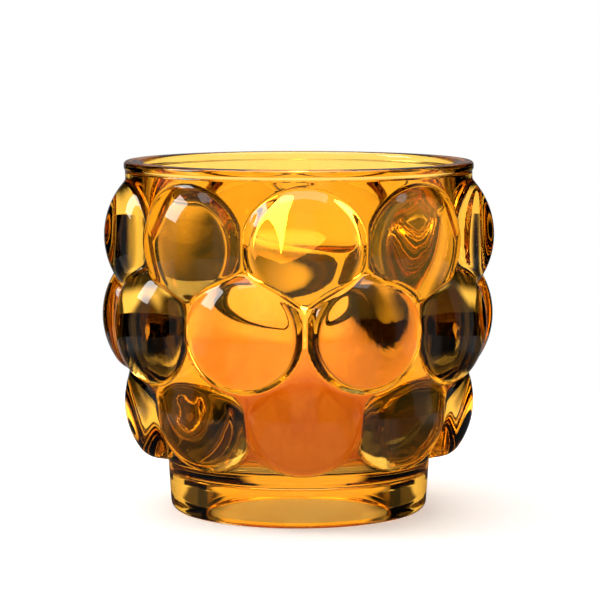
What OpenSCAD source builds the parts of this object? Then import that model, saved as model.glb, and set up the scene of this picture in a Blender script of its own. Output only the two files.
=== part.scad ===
// Bubble tealight holder: a pressed glass with three staggered rows of bubbles,
// on a hollow foot, with a tealight in a clear cup standing on its inner floor.
// Origin: centre of the foot on the surface it stands on. +Z is up.

/* [Glass wall] */
// Overall height of the glass
glass_h = 80; // [73:0.5:110]
// Outer radius of the straight neck
neck_r = 39.6; // [36:0.1:54]
// Thickness of the wall
wall_t = 3.8; // [3:0.1:5]
// Height at which the wall stops being straight and curves in to the top of the foot
straight_from = 44; // [40:0.5:54]

/* [Rim] */
// Height of the bead around the rim
bead_h = 2.2; // [1.8:0.1:4]
// How far the bead stands out from the neck
bead_out = 0.3; // [0.2:0.1:2]
// Rounding of the bead's outer edges
bead_round = 0.8; // [0.3:0.1:1]
// Rounding of the rim's inner edge
rim_round = 1.1; // [0.3:0.1:1.8]

/* [Foot] */
// Height of the foot
foot_h = 11.7; // [9:0.1:16]
// How far the top of the foot stands in from the neck
foot_in = 9.5; // [5:0.1:12]
// Draft of the foot's side, in degrees
foot_draft = 4; // [0:0.5:8]
// Rounding of the foot's lower outer edge
foot_round = 2; // [1:0.1:4]
// Width of the foot's ring around the hollow
foot_ring = 9; // [6:0.1:14]
// Depth of the hollow under the foot
hollow_h = 8.5; // [4:0.1:12]

/* [Inside] */
// Thickness of glass between the hollow and the inner floor
floor_t = 4.5; // [3:0.1:12]
// Rounding where the inner floor meets the wall
corner_r = 5.4; // [3:0.1:7]

/* [Bubbles] */
// Bubbles in each row
bubble_count = 9; // [8:1:9]
// Radius of a bubble's domed crown
crown_r = 18.4; // [16:0.1:24]
// Radius of the rounded edge between a bubble's crown and its side
edge_r = 5.9; // [4:0.1:6.5]
// Radius across the side of a bubble in the two upper rows
bubble_r = 13.4; // [11:0.1:13.6]
// Radius across the side of a bubble in the bottom row
lower_bubble_r = 13; // [11:0.1:13.6]
// How far the top row's centres lie below the rim
top_row_drop = 16.6; // [16:0.1:22]
// How far the bottom row's centres lie above the foot
bottom_row_rise = 13.7; // [13.4:0.1:18]
// How far the top row's crowns stand out from the wall
top_row_out = 5.1; // [3:0.1:8]
// How far the middle row's crowns stand out from the wall
middle_row_out = 5.9; // [3:0.1:8]
// How far the bottom row's crowns stand out from the wall
bottom_row_out = 3.6; // [2.5:0.1:6]

/* [Tealight] */
// Outer radius of the tealight's clear cup
cup_r = 19; // [16:0.1:23]
// Height of the clear cup
cup_h = 29; // [15:0.5:34]
// Wall of the clear cup
cup_wall = 0.5; // [0.3:0.1:1]
// How far below the cup's lip the wax stands
wax_below_lip = 1; // [0.5:0.1:4]
// Depth of the melted hollow around the wick
melt_depth = 1.2; // [0.5:0.1:3]
// Radius of the steel tab that holds the wick
tab_r = 6.5; // [4:0.1:9]
// Thickness of the steel tab
tab_t = 0.4; // [0.2:0.1:0.8]
// Height of the tab's collar, which grips the wick
collar_h = 3; // [1.5:0.1:5]
// Wall of the tab's collar
collar_t = 0.3; // [0.2:0.05:0.6]
// Radius of the wick
wick_r = 0.8; // [0.5:0.05:1.2]
// Length of wick standing clear of the wax
wick_clear = 6; // [3:0.5:10]

/* [Hidden] */
$fn = 96;
eps = 0.01;

// Glass
bead_r = neck_r + bead_out;
inner_r = neck_r - wall_t;
core_r = neck_r - wall_t / 2;
foot_r = neck_r - foot_in;
hollow_r = foot_r - foot_ring;
floor_z = hollow_h + floor_t;

// Wall: below the straight part one arc runs in to meet the top of the foot
belly_fall = straight_from - foot_h;
belly_r = (belly_fall * belly_fall + foot_in * foot_in) / (2 * foot_in);
belly_x = neck_r - belly_r;
inner_belly_r = belly_r - wall_t;

// Centre of the corner rounding: it touches the floor and the curved inner wall
corner_z = floor_z + corner_r;
corner_x = belly_x + sqrt(pow(inner_belly_r - corner_r, 2) - pow(straight_from - corner_z, 2));

// Foot: the circle that rounds its lower edge touches the drafted side
foot_round_x = foot_r - (foot_h - foot_round) * tan(foot_draft) - foot_round / cos(foot_draft);

// Bubbles: the middle row stands halfway between the other two
pitch = 360 / bubble_count;
bubble_root = 2.7;
bubble_sink = 1;
top_row_z = glass_h - top_row_drop;
bottom_row_z = foot_h + bottom_row_rise;
middle_row_z = (top_row_z + bottom_row_z) / 2;

// Radius of the wall at a height, at a depth below its outer surface
function wall_r(z, depth = 0) =
    belly_x + sqrt(pow(belly_r - depth, 2) - pow(max(straight_from - z, 0), 2));

// Tealight
cup_z = floor_z;
wax_z = cup_z + cup_wall;
wax_r = cup_r - cup_wall;
wax_top = cup_z + cup_h - wax_below_lip;
wax_h = wax_top - wax_z;
melt_share = 0.85;
melt_edge_r = melt_share * wax_r;
melt_r = (melt_edge_r * melt_edge_r + melt_depth * melt_depth) / (2 * melt_depth);
collar_r = wick_r + collar_t;
wick_foot_z = wax_z + tab_t;
wick_top = wax_top - melt_depth + wick_clear;

// Outer shape of the wall: straight neck above, one arc down to the foot
module outer_wall_profile() {
    translate([0, straight_from]) square([neck_r, glass_h - straight_from - bead_round]);
    intersection() {
        translate([belly_x, straight_from]) circle(belly_r, $fn = 180);
        translate([0, foot_h]) square([neck_r, belly_fall + eps]);
    }
}

// Bead around the rim, with both edges rounded
module bead_profile() {
    translate([0, glass_h - bead_h]) square([bead_r - bead_round, bead_h]);
    translate([bead_r - bead_round, glass_h - bead_round]) circle(bead_round);
    translate([bead_r - bead_round, glass_h - bead_h + bead_round]) circle(bead_round);
    translate([0, glass_h - bead_h + bead_round]) square([bead_r, bead_h - 2 * bead_round]);
}

// Foot with a rounded lower edge
module foot_profile() {
    polygon([
        [0, 0],
        [foot_round_x, 0],
        [foot_round_x + foot_round * cos(foot_draft), foot_round * (1 - sin(foot_draft))],
        [foot_r, foot_h],
        [0, foot_h],
    ]);
    translate([foot_round_x, foot_round]) circle(foot_round);
}

// The space inside the glass, opened out where the rim's inner edge is rounded
module cavity_profile() {
    translate([0, straight_from]) square([inner_r, glass_h - straight_from + 1]);
    difference() {
        translate([0, glass_h - rim_round]) square([inner_r + rim_round, rim_round + 1]);
        translate([inner_r + rim_round, glass_h - rim_round]) circle(rim_round);
    }
    intersection() {
        translate([belly_x, straight_from]) circle(inner_belly_r, $fn = 180);
        translate([0, corner_z]) square([neck_r, straight_from - corner_z + eps]);
    }
    translate([0, floor_z]) square([corner_x, corner_r + eps]);
    intersection() {
        translate([corner_x, corner_z]) circle(corner_r);
        translate([0, floor_z]) square([neck_r, corner_r + eps]);
    }
}

// One bubble, its crown at the origin and its body towards -Z. The circle that rounds its
// edge lies inside the crown's circle and touches it. Its root goes down at least as deep
// as it is asked to.
module bubble(side_r, root_depth) {
    side_x = side_r - edge_r;
    side_drop = crown_r - sqrt(pow(crown_r - edge_r, 2) - side_x * side_x);
    crown_x = side_x * crown_r / (crown_r - edge_r);
    depth = max(side_drop + bubble_root, root_depth);
    rotate_extrude()
        intersection() {
            translate([0, -crown_r]) circle(crown_r);
            translate([0, -depth]) square([crown_r, depth]);
            union() {
                translate([0, -depth]) square([crown_x, depth]);
                translate([side_x, -side_drop]) circle(edge_r);
                translate([0, -depth]) square([side_r, depth - side_drop]);
            }
        }
}

// A ring of bubbles facing outwards, their crowns standing out from the wall at that height
module bubble_row(z, out, side_r, first_angle) {
    reach = wall_r(z) + out;
    root_depth = reach - wall_r(z - side_r, wall_t / 2) + bubble_sink;
    for (i = [0 : bubble_count - 1])
        rotate([0, 0, first_angle + i * pitch])
            translate([0, -reach, z])
                rotate([90, 0, 0])
                    bubble(side_r, root_depth);
}

// The glass without its bubbles, turned from one outline
module vessel() {
    rotate_extrude()
        difference() {
            union() {
                outer_wall_profile();
                bead_profile();
                foot_profile();
            }
            cavity_profile();
            translate([0, -1]) square([hollow_r, hollow_h + 1]);
        }
}

// Everything nearer the axis than the middle of the wall, which a bubble must not enter
module wall_core() {
    rotate_extrude() {
        translate([0, straight_from]) square([core_r, glass_h - straight_from]);
        intersection() {
            translate([belly_x, straight_from]) circle(core_r - belly_x, $fn = 180);
            translate([0, foot_h]) square([core_r, belly_fall + eps]);
        }
    }
}

// A row of bubbles cut off at the middle of the wall that they are fused to
module fused_row(z, out, side_r, first_angle) {
    difference() {
        bubble_row(z, out, side_r, first_angle);
        wall_core();
    }
}

module glass_holder() {
    color([0.90, 0.52, 0.08, 0.55]) {
        vessel();
        fused_row(top_row_z, top_row_out, bubble_r, 0);
        fused_row(middle_row_z, middle_row_out, bubble_r, pitch / 2);
        fused_row(bottom_row_z, bottom_row_out, lower_bubble_r, 0);
    }
}

module candle_cup() {
    color([0.95, 0.95, 0.95, 0.5])
        translate([0, 0, cup_z])
            difference() {
                cylinder(r = cup_r, h = cup_h);
                translate([0, 0, cup_wall]) cylinder(r = wax_r, h = cup_h);
            }
}

module wax() {
    color([0.97, 0.95, 0.88])
        difference() {
            translate([0, 0, wax_z]) cylinder(r = wax_r, h = wax_h);
            translate([0, 0, wax_top - melt_depth + melt_r]) sphere(melt_r, $fn = 180);
            translate([0, 0, wick_foot_z]) cylinder(r = wick_r, h = wax_h);
            translate([0, 0, wax_z]) tab_blank();
        }
}

// The tab's outer shape: a disc with a collar in the middle
module tab_blank() {
    cylinder(r = tab_r, h = tab_t);
    cylinder(r = collar_r, h = tab_t + collar_h);
}

module wick_tab() {
    color([0.72, 0.72, 0.74])
        translate([0, 0, wax_z])
            difference() {
                tab_blank();
                translate([0, 0, tab_t]) cylinder(r = wick_r, h = collar_h + 1);
            }
}

module wick() {
    color([0.25, 0.22, 0.20])
        translate([0, 0, wick_foot_z]) cylinder(r = wick_r, h = wick_top - wick_foot_z);
}

glass_holder();
candle_cup();
wax();
wick_tab();
wick();
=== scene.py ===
"""Amber bubble tealight holder with a lit tealight standing in it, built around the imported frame."""

import logging
import math
from dataclasses import dataclass
from enum import Enum
from functools import lru_cache

import bmesh
import bpy
from mathutils import Euler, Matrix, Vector


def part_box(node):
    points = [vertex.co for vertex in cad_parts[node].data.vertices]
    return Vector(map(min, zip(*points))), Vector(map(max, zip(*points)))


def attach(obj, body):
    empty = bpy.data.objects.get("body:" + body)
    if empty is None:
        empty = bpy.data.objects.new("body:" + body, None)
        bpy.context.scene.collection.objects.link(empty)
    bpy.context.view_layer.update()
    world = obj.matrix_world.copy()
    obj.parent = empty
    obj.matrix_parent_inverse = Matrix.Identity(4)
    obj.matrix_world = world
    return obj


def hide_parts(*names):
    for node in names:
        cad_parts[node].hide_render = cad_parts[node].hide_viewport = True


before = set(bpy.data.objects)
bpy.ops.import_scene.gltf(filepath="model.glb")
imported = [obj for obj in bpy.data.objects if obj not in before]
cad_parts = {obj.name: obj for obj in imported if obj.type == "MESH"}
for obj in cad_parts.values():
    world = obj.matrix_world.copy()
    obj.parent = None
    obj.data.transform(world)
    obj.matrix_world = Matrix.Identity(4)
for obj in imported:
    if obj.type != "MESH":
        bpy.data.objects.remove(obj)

LOG = logging.getLogger("tealight_holder")
MM = 0.001
WELD = 0.0005 * MM
WHITE = (1.0, 1.0, 1.0, 1.0)
Point = tuple[float, float]
Stops = tuple[tuple[float, tuple[float, ...]], ...]


class Body(Enum):
    """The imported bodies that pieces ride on."""

    HOLDER = "holder"
    TEALIGHT = "tealight"


class Slot(Enum):
    """The record's material slots."""

    GLASS = "amber_glass"
    CUP = "clear_cup"
    WAX = "paraffin"
    STEEL = "tinned_steel"
    COTTON = "cotton"


# ---------------------------------------------------------------- outlines and turned shapes


def arc(centre: Point, radius: float, start: float, end: float, count: int) -> list[Point]:
    """Lays points along an arc.

    Args:
        centre: The arc's centre, as radius from the axis and height.
        radius: The arc's radius.
        start: Angle of the first point, in degrees from the outward direction.
        end: Angle of the last point, in degrees.
        count: How many steps the arc is divided into.

    Returns:
        The points from start to end, both included.
    """
    angles = (math.radians(start + (end - start) * i / count) for i in range(count + 1))
    return [(centre[0] + radius * math.cos(a), centre[1] + radius * math.sin(a)) for a in angles]


def straight(start: Point, end: Point, count: int) -> list[Point]:
    """Lays points along a straight line, leaving out both ends.

    Args:
        start: Where the line starts.
        end: Where the line ends.
        count: How many steps the line is divided into.

    Returns:
        The points between the ends.
    """
    shares = (i / count for i in range(1, count))
    return [tuple(a + (b - a) * t for a, b in zip(start, end)) for t in shares]


def swept(outline: list[Point], steps: int, angle: float) -> bmesh.types.BMesh:
    """Turns an outline round the upright axis.

    Args:
        outline: Points of the outline, as radius and height.
        steps: Divisions of the turn.
        angle: How far it is turned, in radians.

    Returns:
        The turned shape.
    """
    shape = bmesh.new()
    points = [shape.verts.new((0.0, -radius, height)) for radius, height in outline]
    edges = [shape.edges.new(pair) for pair in zip(points, points[1:])]
    bmesh.ops.spin(
        shape,
        geom=points + edges,
        cent=(0.0, 0.0, 0.0),
        axis=(0.0, 0.0, 1.0),
        angle=angle,
        steps=steps,
        use_merge=angle == math.tau,
    )
    return shape


def turned(name: str, outline: list[Point], steps: int) -> bpy.types.Object:
    """Turns an outline all the way round into a smooth solid.

    Args:
        name: The new object's name.
        outline: Points of the outline, as radius and height.
        steps: Divisions of the full turn.

    Returns:
        The new object, with its faces outwards.
    """
    return finished(name, swept(outline, steps, math.tau))


def finished(name: str, shape: bmesh.types.BMesh) -> bpy.types.Object:
    """Welds a shape, turns its faces outwards and links it as a smooth object.

    Args:
        name: The new object's name.
        shape: The shape, which is freed.

    Returns:
        The new object.
    """
    bmesh.ops.remove_doubles(shape, verts=shape.verts, dist=WELD)
    bmesh.ops.recalc_face_normals(shape, faces=shape.faces)
    for face in shape.faces:
        face.smooth = True
    mesh = bpy.data.meshes.new(name)
    shape.to_mesh(mesh)
    shape.free()
    piece = bpy.data.objects.new(name, mesh)
    bpy.context.scene.collection.objects.link(piece)
    return piece


def blended_max(first: float, second: float, width: float) -> float:
    """Takes the larger of two heights, with a fillet where they cross.

    Args:
        first: One height.
        second: The other height.
        width: How close the heights are where the fillet starts.

    Returns:
        The blended height.
    """
    share = max(width - abs(first - second), 0.0) / width
    return max(first, second) + share * share * width / 4


# ---------------------------------------------------------------- shader node helpers


class NodeBoard:
    """A node tree, with short calls to place and join its nodes."""

    def __init__(self, tree: bpy.types.NodeTree) -> None:
        """Takes the tree to work on."""
        self.tree = tree

    def add(self, kind: str, **settings: object) -> bpy.types.Node:
        """Places a node.

        Args:
            kind: The node's type name.
            settings: Properties to set on it.

        Returns:
            The new node.
        """
        node = self.tree.nodes.new(kind)
        for key, value in settings.items():
            setattr(node, key, value)
        return node

    def join(self, source: bpy.types.NodeSocket, target: bpy.types.NodeSocket) -> None:
        """Links an output to an input."""
        self.tree.links.new(source, target)

    def feed(self, target: bpy.types.NodeSocket, value: object) -> None:
        """Gives an input a plain value or another node's output."""
        if isinstance(value, bpy.types.NodeSocket):
            self.join(value, target)
        else:
            target.default_value = value

    def sum(self, kind: str, *values: object) -> bpy.types.NodeSocket:
        """Works out one sum.

        Args:
            kind: The sum's name, such as ADD.
            values: Its plain or linked inputs.

        Returns:
            The result.
        """
        node = self.add("ShaderNodeMath", operation=kind)
        for socket, value in zip(node.inputs, values):
            self.feed(socket, value)
        return node.outputs["Value"]

    def fade(self, value: bpy.types.NodeSocket, start: Point, end: Point) -> bpy.types.NodeSocket:
        """Fades from one level to another.

        Args:
            value: What the fade follows.
            start: Where the fade starts and the level there.
            end: Where the fade ends and the level there.

        Returns:
            The level.
        """
        node = self.add("ShaderNodeMapRange", interpolation_type="SMOOTHSTEP")
        plain = (start[0], end[0], start[1], end[1])
        self.join(value, node.inputs["Value"])
        for label, level in zip(("From Min", "From Max", "To Min", "To Max"), plain):
            node.inputs[label].default_value = level
        return node.outputs["Result"]

    def ramp(self, value: bpy.types.NodeSocket, stops: Stops) -> bpy.types.NodeSocket:
        """Turns a level into a colour.

        Args:
            value: The level, from 0 to 1.
            stops: Levels with their colours, lowest first.

        Returns:
            The colour.
        """
        node = self.add("ShaderNodeValToRGB")
        while len(node.color_ramp.elements) < len(stops):
            node.color_ramp.elements.new(0.5)
        for element, (level, colour) in zip(node.color_ramp.elements, stops):
            element.position, element.color = level, (*colour, 1.0)
        self.join(value, node.inputs["Fac"])
        return node.outputs["Color"]

    def noise(self, place: bpy.types.NodeSocket, scale: float) -> bpy.types.NodeSocket:
        """Places a soft noise.

        Args:
            place: Where it is read.
            scale: How many of its waves fit in a metre.

        Returns:
            Its level.
        """
        node = self.add("ShaderNodeTexNoise")
        node.inputs["Scale"].default_value = scale
        self.join(place, node.inputs["Vector"])
        return node.outputs["Fac"]

    def wave(
        self, east: bpy.types.NodeSocket, north: bpy.types.NodeSocket, count: int
    ) -> bpy.types.NodeSocket:
        """Makes a wave that goes round the upright axis, highest towards the north.

        Args:
            east: The direction's part along +X.
            north: The direction's part along +Y.
            count: How often the wave repeats in one turn.

        Returns:
            The wave's level, from -1 to 1.
        """
        turn = self.sum("ARCTAN2", east, north)
        return self.sum("COSINE", self.sum("MULTIPLY", turn, float(count)))


class Shader(NodeBoard):
    """A material with its surface shader in place."""

    def __init__(self, name: str) -> None:
        """Starts a material of that name."""
        self.material = bpy.data.materials.new(name)
        self.material.use_nodes = True
        super().__init__(self.material.node_tree)
        self.tree.nodes.clear()
        self.output = self.add("ShaderNodeOutputMaterial")
        self.surface = self.add("ShaderNodeBsdfPrincipled")
        self.join(self.surface.outputs["BSDF"], self.output.inputs["Surface"])
        self.place = self.add("ShaderNodeTexCoord").outputs["Object"]
        parts = self.add("ShaderNodeSeparateXYZ")
        self.join(self.place, parts.inputs["Vector"])
        self.across, self.along, self.up = parts.outputs

    def set(self, **values: object) -> None:
        """Sets the surface shader's sockets, named with underscores for spaces."""
        for key, value in values.items():
            self.feed(self.surface.inputs[key.replace("_", " ")], value)

    def ripples(self, tree: bpy.types.NodeTree, **values: float) -> bpy.types.NodeSocket:
        """Roughens the surface with the shared ripple.

        Args:
            tree: The ripple's node group.
            values: Values for its inputs, named with underscores for spaces.

        Returns:
            The group's mask.
        """
        node = self.add("ShaderNodeGroup", node_tree=tree)
        for key, value in values.items():
            node.inputs[key.replace("_", " ")].default_value = value
        self.join(self.place, node.inputs["Position"])
        self.join(node.outputs["Normal"], self.surface.inputs["Normal"])
        return node.outputs["Mask"]


def ripple_effect() -> bpy.types.NodeTree:
    """Builds the shared ripple: the slow waves and fine skin that a moulded surface has.

    Returns:
        A group that gives a normal and a mask of the waves.
    """
    tree = bpy.data.node_groups.new("moulded_ripple", "ShaderNodeTree")
    tree.interface.new_socket("Position", in_out="INPUT", socket_type="NodeSocketVector")
    for label in ("Wave Scale", "Wave Depth", "Skin Scale", "Skin Share"):
        tree.interface.new_socket(label, in_out="INPUT", socket_type="NodeSocketFloat")
    tree.interface.new_socket("Normal", in_out="OUTPUT", socket_type="NodeSocketVector")
    tree.interface.new_socket("Mask", in_out="OUTPUT", socket_type="NodeSocketFloat")
    board = NodeBoard(tree)
    start, end = board.add("NodeGroupInput"), board.add("NodeGroupOutput")
    waves, skin, bump = (board.add(kind) for kind in ("ShaderNodeTexNoise",) * 2 + ("ShaderNodeBump",))
    for node, label in ((waves, "Wave Scale"), (skin, "Skin Scale")):
        board.join(start.outputs["Position"], node.inputs["Vector"])
        board.join(start.outputs[label], node.inputs["Scale"])
    both = board.sum(
        "MULTIPLY_ADD", skin.outputs["Fac"], start.outputs["Skin Share"], waves.outputs["Fac"]
    )
    board.join(both, bump.inputs["Height"])
    board.join(start.outputs["Wave Depth"], bump.inputs["Distance"])
    board.join(bump.outputs["Normal"], end.inputs["Normal"])
    board.join(waves.outputs["Fac"], end.inputs["Mask"])
    return tree


# ---------------------------------------------------------------- finishes


@dataclass(frozen=True)
class AmberGlass:
    """Fire-polished glass, stained amber at its skin and faintly through its depth."""

    ripple: bpy.types.NodeTree
    stain: tuple[float, ...] = (0.985, 0.66, 0.16)
    deep_stain: tuple[float, ...] = (0.975, 0.61, 0.12)
    ior: float = 1.52
    depth_colour: tuple[float, ...] = (0.97, 0.80, 0.30, 1.0)
    depth_density: float = 60.0

    def build(self) -> bpy.types.Material:
        """Makes the glass material.

        Returns:
            The material.
        """
        shader = Shader("stained_glass")
        shader.set(Transmission_Weight=1.0, IOR=self.ior, Roughness=0.0)
        mask = shader.ripples(
            self.ripple, Wave_Scale=100.0, Wave_Depth=0.00002, Skin_Scale=1000.0, Skin_Share=0.02
        )
        shader.set(Base_Color=shader.ramp(mask, ((0.3, self.deep_stain), (0.7, self.stain))))
        depth = shader.add("ShaderNodeVolumeAbsorption")
        depth.inputs["Color"].default_value = self.depth_colour
        depth.inputs["Density"].default_value = self.depth_density
        shader.join(depth.outputs["Volume"], shader.output.inputs["Volume"])
        return shader.material


@dataclass(frozen=True)
class ClearPlastic:
    """Thin clear moulded plastic."""

    ripple: bpy.types.NodeTree

    def build(self) -> bpy.types.Material:
        """Makes the plastic material.

        Returns:
            The material.
        """
        shader = Shader("clear_plastic")
        shader.set(Transmission_Weight=1.0, IOR=1.45)
        mask = shader.ripples(
            self.ripple, Wave_Scale=180.0, Wave_Depth=0.00004, Skin_Scale=2500.0, Skin_Share=0.05
        )
        shader.set(Base_Color=shader.ramp(mask, ((0.0, (0.96,) * 3), (1.0, (0.99,) * 3))))
        shader.set(Roughness=shader.fade(mask, (0.3, 0.02), (0.7, 0.06)))
        return shader.material


@dataclass(frozen=True)
class WaxWithPaintedGlow:
    """White paraffin with a painted glow that stands in for its flame's light, brightest and glossiest
    at the top.
    """

    ripple: bpy.types.NodeTree
    bottom: float
    top: float
    strength: float = 1.0
    painted_glow: Stops = (
        (0.0, (0.34, 0.05, 0.0)),
        (0.75, (0.62, 0.09, 0.0)),
        (1.0, (1.0, 0.42, 0.16)),
    )
    body: Stops = ((0.3, (0.60, 0.40, 0.24)), (0.7, (0.72, 0.52, 0.34)))

    def build(self) -> bpy.types.Material:
        """Makes the wax material.

        Returns:
            The material.
        """
        shader = Shader("wax_painted_glow")
        mask = shader.ripples(
            self.ripple, Wave_Scale=320.0, Wave_Depth=0.0002, Skin_Scale=1800.0, Skin_Share=0.2
        )
        level = shader.fade(shader.up, (self.bottom, 0.0), (self.top, 1.0))
        # Painted glow: the wax's emission stands in for the flame's light in it, dim red low down and
        # brightest at the top.
        shader.set(IOR=1.44, Emission_Strength=self.strength)
        shader.set(Emission_Color=shader.ramp(level, self.painted_glow))
        shader.set(Base_Color=shader.ramp(mask, self.body))
        shader.set(Roughness=shader.fade(level, (0.9, 0.5), (1.0, 0.12)))
        return shader.material


@dataclass(frozen=True)
class StampedSteel:
    """Thin tinned steel with fine rolling marks."""

    mark_scale: float = 2600.0

    def build(self) -> bpy.types.Material:
        """Makes the steel material.

        Returns:
            The material.
        """
        shader = Shader("stamped_steel")
        marks = shader.noise(shader.place, self.mark_scale)
        shader.set(Metallic=1.0)
        shader.set(Base_Color=shader.ramp(marks, ((0.3, (0.50,) * 3), (0.7, (0.66,) * 3))))
        shader.set(Roughness=shader.fade(marks, (0.3, 0.25), (0.7, 0.45)))
        return shader.material


@dataclass(frozen=True)
class BurntCotton:
    """Twisted cotton, charred black towards its tip."""

    char_from: float
    char_to: float
    thread_scale: float = 3500.0
    thread_depth: float = 0.1 * MM
    char_wobble: float = 1.2 * MM
    char: Stops = (
        (0.0, (0.72, 0.62, 0.44)),
        (0.6, (0.10, 0.07, 0.05)),
        (1.0, (0.012, 0.010, 0.009)),
    )

    def build(self) -> bpy.types.Material:
        """Makes the wick material.

        Returns:
            The material.
        """
        shader = Shader("burnt_cotton")
        threads = shader.noise(shader.place, self.thread_scale)
        height = shader.sum("MULTIPLY_ADD", threads, self.char_wobble, shader.up)
        level = shader.fade(height, (self.char_from, 0.0), (self.char_to, 1.0))
        bump = shader.add("ShaderNodeBump")
        bump.inputs["Distance"].default_value = self.thread_depth
        shader.join(threads, bump.inputs["Height"])
        shader.set(Base_Color=shader.ramp(level, self.char), Roughness=0.9)
        shader.set(Normal=bump.outputs["Normal"])
        return shader.material


@dataclass(frozen=True)
class FlameLight:
    """The flame: dim at its root, hottest in its middle and golden at its tip."""

    bottom: float
    top: float
    strength: float = 30.0
    heat: Stops = (
        (0.0, (0.35, 0.14, 0.03)),
        (0.35, (1.0, 0.80, 0.45)),
        (1.0, (1.0, 0.45, 0.10)),
    )

    def build(self) -> bpy.types.Material:
        """Makes the flame material.

        Returns:
            The material.
        """
        shader = Shader("flame")
        level = shader.fade(shader.up, (self.bottom, 0.0), (self.top, 1.0))
        shader.set(Base_Color=(0.0, 0.0, 0.0, 1.0), Emission_Strength=self.strength)
        shader.set(Emission_Color=shader.ramp(level, self.heat))
        return shader.material


# ---------------------------------------------------------------- the glass


@dataclass
class BubbleRow:
    """One ring of bubbles on the glass."""

    height: float
    reach: float
    radius: float
    first_angle: float


@dataclass
class PressedVessel:
    """The pressed glass: neck, rim, three rows of bubbles, thick floor and hollow foot."""

    finish: bpy.types.Material
    height: float
    neck_radius: float = 39.6 * MM
    wall: float = 3.8 * MM
    straight_from: float = 44.0 * MM
    bead_height: float = 2.2 * MM
    bead_out: float = 0.3 * MM
    bead_round: float = 0.8 * MM
    bead_start: float = -70.0
    rim_round: float = 1.1 * MM
    foot_height: float = 11.7 * MM
    foot_radius: float = 30.1 * MM
    foot_draft: float = 4.0
    foot_round: float = 2.0 * MM
    hollow_radius: float = 21.1 * MM
    hollow_height: float = 8.5 * MM
    hollow_round: float = 0.8 * MM
    hollow_lip: float = 0.64 * MM
    floor: float = 4.5 * MM
    corner: float = 5.4 * MM
    bubble_count: int = 9
    crown: float = 18.4 * MM
    edge: float = 5.9 * MM
    bubble_radius: float = 13.4 * MM
    lower_radius: float = 13.0 * MM
    top_drop: float = 16.6 * MM
    bottom_rise: float = 13.7 * MM
    top_out: float = 5.1 * MM
    middle_out: float = 5.9 * MM
    bottom_out: float = 3.6 * MM
    fillet: float = 1.4 * MM
    columns_per_bubble: int = 40
    wall_step: float = 0.44 * MM
    search_from: float = 0.6
    search_steps: int = 24

    def __post_init__(self) -> None:
        """Works out the sizes that follow from the driving ones."""
        self.inner_radius = self.neck_radius - self.wall
        fall, inset = self.straight_from - self.foot_height, self.neck_radius - self.foot_radius
        self.belly_radius = (fall**2 + inset**2) / (2 * inset)
        self.belly_centre = self.neck_radius - self.belly_radius
        self.inner_belly = self.belly_radius - self.wall
        self.floor_height = self.hollow_height + self.floor
        top = self.height - self.top_drop
        bottom = self.foot_height + self.bottom_rise
        middle = (top + bottom) / 2
        self.rows = [
            BubbleRow(top, self.outer_wall(top) + self.top_out, self.bubble_radius, 0.0),
            BubbleRow(middle, self.outer_wall(middle) + self.middle_out, self.bubble_radius, 0.5),
            BubbleRow(bottom, self.outer_wall(bottom) + self.bottom_out, self.lower_radius, 0.0),
        ]

    def outer_wall(self, height: float) -> float:
        """Returns the bare outer wall's radius at a height."""
        below = max(self.straight_from - height, 0.0)
        return self.belly_centre + math.sqrt(self.belly_radius**2 - below**2)

    def drop(self, off_axis: float, radius: float) -> float:
        """Measures how far a bubble's surface lies behind its crown.

        Args:
            off_axis: Distance from the bubble's own axis.
            radius: The bubble's radius across its side.

        Returns:
            The depth behind the crown.
        """
        side = radius - self.edge
        touch = side * self.crown / (self.crown - self.edge)
        if off_axis <= touch:
            return self.crown - math.sqrt(self.crown**2 - off_axis**2)
        side_drop = self.crown - math.sqrt((self.crown - self.edge) ** 2 - side**2)
        return side_drop - math.sqrt(max(self.edge**2 - (off_axis - side) ** 2, 0.0))

    def bubble_surface(self, row: BubbleRow, turn: float, height: float) -> float | None:
        """Finds a bubble's outer surface along a line out from the axis.

        Args:
            row: The row that the bubble is in.
            turn: Angle between the line and the bubble's own axis, in radians.
            height: The line's height.

        Returns:
            The surface's distance from the axis, or None where the line misses the bubble.
        """
        rise = height - row.height
        room = row.radius**2 - rise**2
        if room <= 0.0:
            return None
        low = self.search_from * row.reach
        high = min(row.reach / math.cos(turn), math.sqrt(room) / max(abs(math.sin(turn)), 1e-9))
        if high <= low:
            return None
        for _ in range(self.search_steps):
            middle = (low + high) / 2
            off_axis = math.hypot(middle * math.sin(turn), rise)
            if middle * math.cos(turn) < row.reach - self.drop(off_axis, row.radius):
                low = middle
            else:
                high = middle
        return low

    def surface(self, column: int, height: float) -> float:
        """Finds the glass's outer surface with its bubbles, filleted where they meet.

        Args:
            column: Which column of the mesh, counted from the crown of a top-row bubble.
            height: Height above the table.

        Returns:
            The surface's distance from the axis.
        """
        pitch = math.tau / self.bubble_count
        share = column / self.columns_per_bubble
        radius = self.outer_wall(height)
        for row in self.rows:
            for place in {abs(share - row.first_angle), 1.0 - abs(share - row.first_angle)}:
                bubble = self.bubble_surface(row, place * pitch, height)
                if bubble is not None:
                    radius = blended_max(radius, bubble, self.fillet)
        return radius

    def under_outline(self) -> list[Point]:
        """Lays the outline from the hollow's middle, down its side and up the foot.

        Returns:
            The outline's points.
        """
        hollow, top = self.hollow_radius, self.hollow_height
        turn, lip = self.hollow_round, self.hollow_lip
        lean = math.radians(self.foot_draft)
        centre_x = self.foot_radius - (self.foot_height - self.foot_round) * math.tan(lean)
        centre_x -= self.foot_round / math.cos(lean)
        points = [(0.0, top)] + straight((0.0, top), (hollow - turn, top), 6)
        points += arc((hollow - turn, top - turn), turn, 90.0, 0.0, 5)
        points += straight(points[-1], (hollow, lip), 5)
        points += arc((hollow + lip, lip), lip, 180.0, 270.0, 4)
        points += straight(points[-1], (centre_x, 0.0), 4)
        points += arc((centre_x, self.foot_round), self.foot_round, -90.0, -self.foot_draft, 7)
        meeting = (self.foot_radius, self.foot_height)
        return points + straight(points[-1], meeting, 14)

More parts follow.
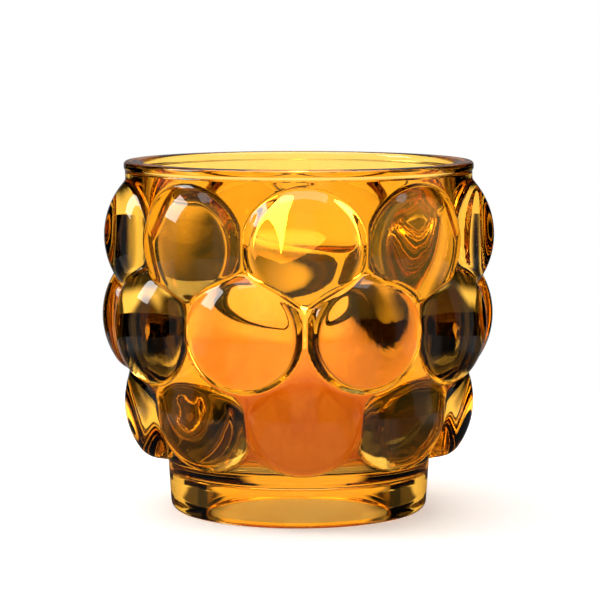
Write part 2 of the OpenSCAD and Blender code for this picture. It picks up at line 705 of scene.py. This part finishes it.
    def wall_outline(self) -> list[Point]:
        """Lays the bare outer wall's outline from the foot to the bead, in even steps.

        Returns:
            The outline's points.
        """
        low, high = self.foot_height, self.height - self.bead_height
        count = round((high - low) / self.wall_step)
        heights = [low + (high - low) * i / count for i in range(count + 1)]
        return [(self.outer_wall(z), z) for z in heights]

    def rim_outline(self) -> list[Point]:
        """Lays the outline over the bead and the rim, from outside to inside.

        Returns:
            The outline's points.
        """
        bead, top = self.neck_radius + self.bead_out, self.height
        turn = self.bead_round
        centre = bead - turn
        points = arc((centre, top - self.bead_height + turn), turn, self.bead_start, 0.0, 4)
        points += arc((centre, top - turn), turn, 0.0, 90.0, 5)
        points += straight(points[-1], (self.inner_radius + self.rim_round, top), 3)
        inner = (self.inner_radius + self.rim_round, top - self.rim_round)
        return points + arc(inner, self.rim_round, 90.0, 180.0, 6)

    def inside_outline(self) -> list[Point]:
        """Lays the outline down the inside wall, round its corner and in to the floor's middle.

        Returns:
            The outline's points.
        """
        straight_end = (self.inner_radius, self.straight_from)
        start = (self.inner_radius, self.height - self.rim_round)
        points = straight(start, straight_end, 16)
        corner_z = self.floor_height + self.corner
        reach = self.inner_belly - self.corner
        fall = self.straight_from - corner_z
        corner_x = self.belly_centre + math.sqrt(reach**2 - fall**2)
        lean = math.degrees(math.asin(fall / reach))
        centre = (self.belly_centre, self.straight_from)
        points += arc(centre, self.inner_belly, 0.0, -lean, 18)
        points += arc((corner_x, corner_z), self.corner, -lean, -90.0, 10)[1:]
        return points + straight(points[-1], (0.0, self.floor_height), 6) + [(0.0, self.floor_height)]

    def build(self) -> bpy.types.Object:
        """Turns the outline, swells the bubbles out of the wall and dresses the glass.

        Returns:
            The glass.
        """
        outline = (
            self.under_outline() + self.wall_outline() + self.rim_outline() + self.inside_outline()
        )
        pitch = math.tau / self.bubble_count
        shape = swept(outline, self.columns_per_bubble, pitch)
        surface = lru_cache(maxsize=None)(self.surface)
        low, high = self.foot_height, self.height - self.bead_height
        for vertex in shape.verts:
            x, y, z = vertex.co
            radius = math.hypot(x, y)
            if low <= z <= high and radius > self.outer_wall(z) - self.wall / 2:
                column = round(abs(math.atan2(x, -y)) / pitch * self.columns_per_bubble)
                swollen = surface(min(column, self.columns_per_bubble - column), round(z, 7))
                vertex.co.x, vertex.co.y = x * swollen / radius, y * swollen / radius
        bmesh.ops.spin(
            shape,
            geom=shape.faces[:],
            cent=(0.0, 0.0, 0.0),
            axis=(0.0, 0.0, 1.0),
            angle=math.tau - pitch,
            steps=self.bubble_count - 1,
            use_duplicate=True,
        )
        glass = finished("pressed_glass", shape)
        glass.data.materials.append(self.finish)
        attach(glass, Body.HOLDER.value)
        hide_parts("glass_holder")
        return glass


# ---------------------------------------------------------------- the tealight


@dataclass(frozen=True)
class TealightFinishes:
    """What each part of the tealight is made of."""

    cup: bpy.types.Material
    wax: bpy.types.Material
    steel: bpy.types.Material
    cotton: bpy.types.Material
    flame: bpy.types.Material


@dataclass
class Tealight:
    """The candle that stands in the glass: clear cup, wax, tab, wick and flame."""

    finishes: TealightFinishes
    base: float
    cup_radius: float = 19.0 * MM
    cup_height: float = 29.0 * MM
    cup_wall: float = 0.5 * MM
    cup_turn: float = 1.2 * MM
    wax_below_lip: float = 1.0 * MM
    melt_depth: float = 1.2 * MM
    melt_share: float = 0.85
    melt_steps: int = 12
    melt_curve: float = 1.2
    wax_edge: float = 0.4 * MM
    tab_radius: float = 6.5 * MM
    tab_thick: float = 0.4 * MM
    tab_turn: float = 0.5 * MM
    collar_height: float = 3.0 * MM
    collar_thick: float = 0.3 * MM
    wick_radius: float = 0.8 * MM
    wick_clear: float = 6.0 * MM
    strands: int = 3
    strand_share: float = 0.48
    wick_turns: float = 7.0
    wick_steps: int = 140
    strand_sides: int = 12
    tip_length: float = 2.5 * MM
    tip_thinning: float = 0.4
    flame_height: float = 17.0 * MM
    flame_radius: float = 3.4 * MM
    flame_root: float = 3.0 * MM
    flame_belly: float = 0.62
    flame_blunt: float = 0.9
    flame_taper: float = 0.35
    flame_steps: int = 24
    gap: float = 0.04 * MM
    steps: int = 96

    def __post_init__(self) -> None:
        """Works out the levels that follow from the driving sizes."""
        self.wax_radius = self.cup_radius - self.cup_wall - self.gap
        self.wax_low = self.base + self.cup_wall
        self.wax_top = self.base + self.cup_height - self.wax_below_lip
        self.pool = self.wax_top - self.melt_depth
        self.wick_low = self.wax_low + self.tab_thick
        self.wick_top = self.pool + self.wick_clear

    def placed(
        self, piece: bpy.types.Object, finish: bpy.types.Material, node: str
    ) -> bpy.types.Object:
        """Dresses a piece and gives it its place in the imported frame.

        Args:
            piece: The piece.
            finish: What it is made of.
            node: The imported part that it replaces, or nothing.

        Returns:
            The same piece.
        """
        piece.data.materials.append(finish)
        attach(piece, Body.TEALIGHT.value)
        if node:
            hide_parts(node)
        return piece

    def cup(self) -> bpy.types.Object:
        """Makes the clear cup, with rounded lower edges and a rounded lip.

        Returns:
            The cup.
        """
        outer, wall, turn = self.cup_radius, self.cup_wall, self.cup_turn
        low, top = self.base + self.gap, self.base + self.cup_height
        floor, lip = low + wall, top - wall / 2
        outline = [(0.0, low)] + straight((0.0, low), (outer - turn, low), 4)
        outline += arc((outer - turn, low + turn), turn, -90.0, 0.0, 5)
        outline += straight((outer, low + turn), (outer, lip), 8)
        outline += arc((outer - wall / 2, lip), wall / 2, 0.0, 180.0, 6)
        outline += straight((outer - wall, lip), (outer - wall, low + turn), 8)
        outline += arc((outer - turn, low + turn), turn - wall, 0.0, -90.0, 5)
        outline += straight((outer - turn, floor), (0.0, floor), 4) + [(0.0, floor)]
        piece = turned("cup", outline, self.steps)
        return self.placed(piece, self.finishes.cup, "candle_cup")

    def wax(self) -> bpy.types.Object:
        """Makes the wax, with its melted hollow and a rounded upper edge.

        Returns:
            The wax.
        """
        radius, low, top = self.wax_radius, self.wax_low + 2 * self.gap, self.wax_top
        turn, edge = self.cup_turn - self.cup_wall, self.wax_edge
        melt_edge = self.melt_share * radius
        outline = [(0.0, low)] + straight((0.0, low), (radius - turn, low), 4)
        outline += arc((radius - turn, low + turn), turn, -90.0, 0.0, 5)
        outline += straight((radius, low + turn), (radius, top - edge), 14)
        outline += arc((radius - edge, top - edge), edge, 0.0, 90.0, 5)
        outline += straight((radius - edge, top), (melt_edge, top), 3)
        for step in range(self.melt_steps, -1, -1):
            share = step / self.melt_steps
            sunk = self.melt_depth * (1 - share**2) ** self.melt_curve
            outline.append((melt_edge * share, top - sunk))
        piece = turned("wax_fill", outline, self.steps)
        return self.placed(piece, self.finishes.wax, "wax")

    def tab(self) -> bpy.types.Object:
        """Makes the stamped tab with its collar, drawn up from one thin disc.

        Returns:
            The tab.
        """
        low, thick = self.wax_low + 1.5 * self.gap, self.tab_thick
        inner = self.wick_radius
        outer, reach = inner + self.collar_thick, self.tab_radius
        top = low + thick + self.collar_height
        turn, edge = self.tab_turn, thick / 2
        outline = [(0.0, low)] + straight((0.0, low), (reach - edge, low), 5)
        outline += arc((reach - edge, low + edge), edge, -90.0, 90.0, 6)
        outline += straight((reach - edge, low + thick), (outer + turn, low + thick), 5)
        outline += arc((outer + turn, low + thick + turn), turn, 270.0, 180.0, 5)
        outline += straight((outer, low + thick + turn), (outer, top), 5)
        outline += [(outer, top), (inner, top)]
        outline += straight((inner, top), (inner, low + thick), 5)
        outline += [(inner, low + thick), (0.0, low + thick)]
        piece = turned("stamped_tab", outline, self.steps // 2)
        return self.placed(piece, self.finishes.steel, "wick_tab")

    def strand(self, shape: bmesh.types.BMesh, start: float) -> None:
        """Winds one strand of the wick up the axis.

        Args:
            shape: The shape to add it to.
            start: Angle round the axis at which it starts, in radians.
        """
        low = self.wick_low + self.gap
        ring = bmesh.ops.create_circle(
            shape, segments=self.strand_sides, radius=self.strand_share * self.wick_radius
        )["verts"]
        off_axis = (1.0 - self.strand_share) * self.wick_radius
        place = Vector((off_axis * math.cos(start), off_axis * math.sin(start), low))
        for vertex in ring:
            vertex.co += place
        bmesh.ops.spin(
            shape,
            geom=ring + list({edge for vertex in ring for edge in vertex.link_edges}),
            cent=(0.0, 0.0, 0.0),
            axis=(0.0, 0.0, 1.0),
            dvec=(0.0, 0.0, (self.wick_top - low) / self.wick_steps),
            angle=self.wick_turns * math.tau,
            steps=self.wick_steps,
        )

    def wick(self) -> bpy.types.Object:
        """Makes the wick: twisted strands that thin out towards a burnt tip.

        Returns:
            The wick.
        """
        shape = bmesh.new()
        for index in range(self.strands):
            self.strand(shape, index * math.tau / self.strands)
        bmesh.ops.holes_fill(shape, edges=[edge for edge in shape.edges if edge.is_boundary])
        for vertex in shape.verts:
            share = max(vertex.co.z - self.wick_top + self.tip_length, 0.0) / self.tip_length
            thinned = 1.0 - self.tip_thinning * share**2
            vertex.co.x *= thinned
            vertex.co.y *= thinned
        piece = finished("twisted_wick", shape)
        return self.placed(piece, self.finishes.cotton, "wick")

    def flame(self) -> bpy.types.Object:
        """Makes the flame, a slim drop that stands round the wick's tip.

        Returns:
            The flame.
        """
        low, height, width = self.wick_top - self.flame_root, self.flame_height, self.flame_radius
        outline = [(0.0, low)]
        for step in range(1, self.flame_steps):
            share = step / self.flame_steps
            swell = math.sin(math.pi * share**self.flame_belly) ** self.flame_blunt
            outline.append((width * swell * (1 - self.flame_taper * share), low + height * share))
        outline.append((0.0, low + height))
        piece = turned("flame", outline, self.steps // 3)
        return self.placed(piece, self.finishes.flame, "")

    def build(self) -> list[bpy.types.Object]:
        """Returns all the pieces of the candle."""
        return [self.cup(), self.wax(), self.tab(), self.wick(), self.flame()]


# ---------------------------------------------------------------- studio


@dataclass(frozen=True)
class Lamp:
    """A soft square lamp that faces the object."""

    name: str
    place: tuple[float, float, float]
    size: float
    power: float

    def build(self, target: Vector) -> None:
        """Hangs the lamp.

        Args:
            target: The point that it faces.
        """
        data = bpy.data.lights.new(self.name, "AREA")
        data.energy, data.size = self.power, self.size
        lamp = bpy.data.objects.new(self.name, data)
        lamp.location = self.place
        lamp.rotation_euler = (target - Vector(self.place)).to_track_quat("-Z", "Y").to_euler()
        bpy.context.scene.collection.objects.link(lamp)


@dataclass
class Studio:
    """Pale floor, light and camera. Each fade holds two pairs: a place and the level there."""

    distance: float = 0.6197
    camera_height: float = 0.1153
    pitch: float = 6.209
    yaw: float = 2.0
    lens: float = 162.96
    sensor: float = 36.0
    near: float = 0.01
    shift: float = 0.0022
    target: float = 0.036
    floor_radius: float = 0.21
    floor_glow: float = 0.42
    floor_tones: Stops = ((0.0, (0.04,) * 3), (1.0, (0.92,) * 3))
    panel_count: int = 4
    panel_edge: tuple[Point, Point] = ((0.1, 0.0), (0.5, 1.3))
    overhead: tuple[Point, Point] = ((0.65, 0.0), (0.85, 1.3))
    floor_far: tuple[Point, Point] = ((0.09, 0.0), (0.13, 1.0))
    wedge_count: int = 2
    wedge_edge: tuple[Point, Point] = ((-0.1, 0.0), (0.35, 1.0))
    wedge_from: tuple[Point, Point] = ((0.034, 0.0), (0.044, 1.0))
    strip: tuple[Point, Point] = ((0.015, 1.0), (0.024, 0.0))
    mirrored: float = 0.15
    bounces: int = 24
    see_through: int = 16
    clamp: float = 6.0
    lamps: tuple[Lamp, ...] = (
        Lamp("overhead", (0.0, 0.1, 1.3), 1.4, 15.0),
        Lamp("key", (-0.7, 0.0, 0.5), 0.35, 3.2),
    )

    def dimmed(
        self, board: NodeBoard, path: bpy.types.Node, level: bpy.types.NodeSocket
    ) -> bpy.types.NodeSocket:
        """Dims what is mirrored in a surface, so that the glass shows its depth.

        Args:
            board: The node tree that needs it.
            path: The tree's light path node.
            level: The brightness to dim.

        Returns:
            The brightness for this kind of light path.
        """
        share = board.sum("MULTIPLY", path.outputs["Is Reflection Ray"], 1.0 - self.mirrored)
        return board.sum("MULTIPLY", level, board.sum("SUBTRACT", 1.0, share))

    def floor(self) -> bpy.types.Object:
        """Makes the floor: white to the eye, but darker in places as the glass sees it, with painted
        shade and painted pools of light.

        Returns:
            The floor.
        """
        shape = bmesh.new()
        bmesh.ops.create_circle(shape, cap_ends=True, segments=128, radius=self.floor_radius)
        piece = finished("floor", shape)
        shader = Shader("floor")
        path = shader.add("ShaderNodeLightPath")
        away = shader.add("ShaderNodeVectorMath", operation="LENGTH")
        shader.join(shader.place, away.inputs[0])
        across, along = shader.across, shader.along
        # Painted light and shade as the glass sees the floor: painted shade under the glass, at its
        # sides and in the gaps between the room's panels, and painted pools of light towards the
        # panels, fore and aft and along a narrow middle strip; the same level also sets the floor's
        # glow.
        panels = shader.fade(shader.wave(across, along, self.panel_count), *self.panel_edge)
        wedge = shader.fade(shader.wave(across, along, self.wedge_count), *self.wedge_edge)
        strip = shader.fade(shader.sum("ABSOLUTE", across), *self.strip)
        radius = away.outputs["Value"]
        far = shader.sum("MULTIPLY", panels, shader.fade(radius, *self.floor_far))
        beside = shader.sum("MULTIPLY", wedge, shader.fade(radius, *self.wedge_from))
        bright = shader.sum("MAXIMUM", shader.sum("MAXIMUM", far, beside), strip)
        painted_light_and_shade = self.dimmed(shader, path, bright)
        level = shader.sum("MAXIMUM", painted_light_and_shade, path.outputs["Is Camera Ray"])
        shader.set(Base_Color=shader.ramp(level, self.floor_tones))
        shader.set(Roughness=0.6, Specular_IOR_Level=0.1, Emission_Color=WHITE)
        shader.set(Emission_Strength=shader.sum("MULTIPLY", level, self.floor_glow))
        piece.data.materials.append(shader.material)
        return piece

    def camera(self) -> None:
        """Places the camera at the viewing angle."""
        data = bpy.data.cameras.new("camera")
        data.sensor_width, data.lens, data.shift_x = self.sensor, self.lens, self.shift
        data.clip_start = self.near
        camera = bpy.data.objects.new("camera", data)
        yaw = math.radians(self.yaw)
        away = self.distance
        camera.location = (-away * math.sin(yaw), -away * math.cos(yaw), self.camera_height)
        camera.rotation_euler = Euler((math.radians(90.0 - self.pitch), 0.0, -yaw))
        bpy.context.scene.collection.objects.link(camera)
        bpy.context.scene.camera = camera

    def world(self) -> None:
        """Builds the room: plain white to the eye, but panels and dark gaps as the glass sees it."""
        world = bpy.data.worlds.new("studio")
        bpy.context.scene.world = world
        world.use_nodes = True
        board = NodeBoard(world.node_tree)
        board.tree.nodes.clear()
        output, mix = board.add("ShaderNodeOutputWorld"), board.add("ShaderNodeMixShader")
        seen, room = board.add("ShaderNodeBackground"), board.add("ShaderNodeBackground")
        seen.inputs["Color"].default_value = WHITE
        path = board.add("ShaderNodeLightPath")
        board.join(path.outputs["Is Camera Ray"], mix.inputs[0])
        board.join(room.outputs[0], mix.inputs[1])
        board.join(seen.outputs[0], mix.inputs[2])
        board.join(mix.outputs[0], output.inputs["Surface"])
        parts = board.add("ShaderNodeSeparateXYZ")
        board.join(board.add("ShaderNodeTexCoord").outputs["Generated"], parts.inputs[0])
        east, north, up = parts.outputs
        sides = board.fade(board.wave(east, north, self.panel_count), *self.panel_edge)
        level = board.sum("MAXIMUM", sides, board.fade(up, *self.overhead))
        board.join(self.dimmed(board, path, level), room.inputs["Color"])

    def render_choices(self) -> None:
        """Sets how light paths and colours are worked out."""
        scene = bpy.context.scene
        scene.view_settings.view_transform = "Standard"
        scene.cycles.max_bounces = self.bounces
        scene.cycles.transmission_bounces = self.bounces
        scene.cycles.transparent_max_bounces = self.see_through
        scene.cycles.use_denoising = True
        scene.cycles.sample_clamp_indirect = self.clamp

    def build(self) -> None:
        """Sets up the floor, the camera and the light."""
        self.floor()
        self.camera()
        self.world()
        for lamp in self.lamps:
            lamp.build(Vector((0.0, 0.0, self.target)))
        self.render_choices()


def main() -> None:
    """Builds the pieces in order and reports each one."""
    logging.basicConfig(level=logging.INFO, format="%(name)s: %(message)s")
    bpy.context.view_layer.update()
    ripple = ripple_effect()
    vessel = PressedVessel(AmberGlass(ripple).build(), height=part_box("glass_holder")[1].z)
    base, lip = vessel.floor_height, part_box("candle_cup")[1].z
    wax_top, wick_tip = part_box("wax")[1].z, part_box("wick")[1].z
    flame_low = wick_tip - Tealight.flame_root
    finishes = TealightFinishes(
        cup=ClearPlastic(ripple).build(),
        wax=WaxWithPaintedGlow(ripple, base, wax_top).build(),
        steel=StampedSteel().build(),
        cotton=BurntCotton(wax_top, wick_tip).build(),
        flame=FlameLight(flame_low, flame_low + Tealight.flame_height).build(),
    )
    tealight = Tealight(finishes, base, cup_height=lip - base)
    for piece in [vessel.build()] + tealight.build():
        LOG.info("%s: %d faces", piece.name, len(piece.data.polygons))
    Studio().build()


if __name__ == "__main__":
    main()
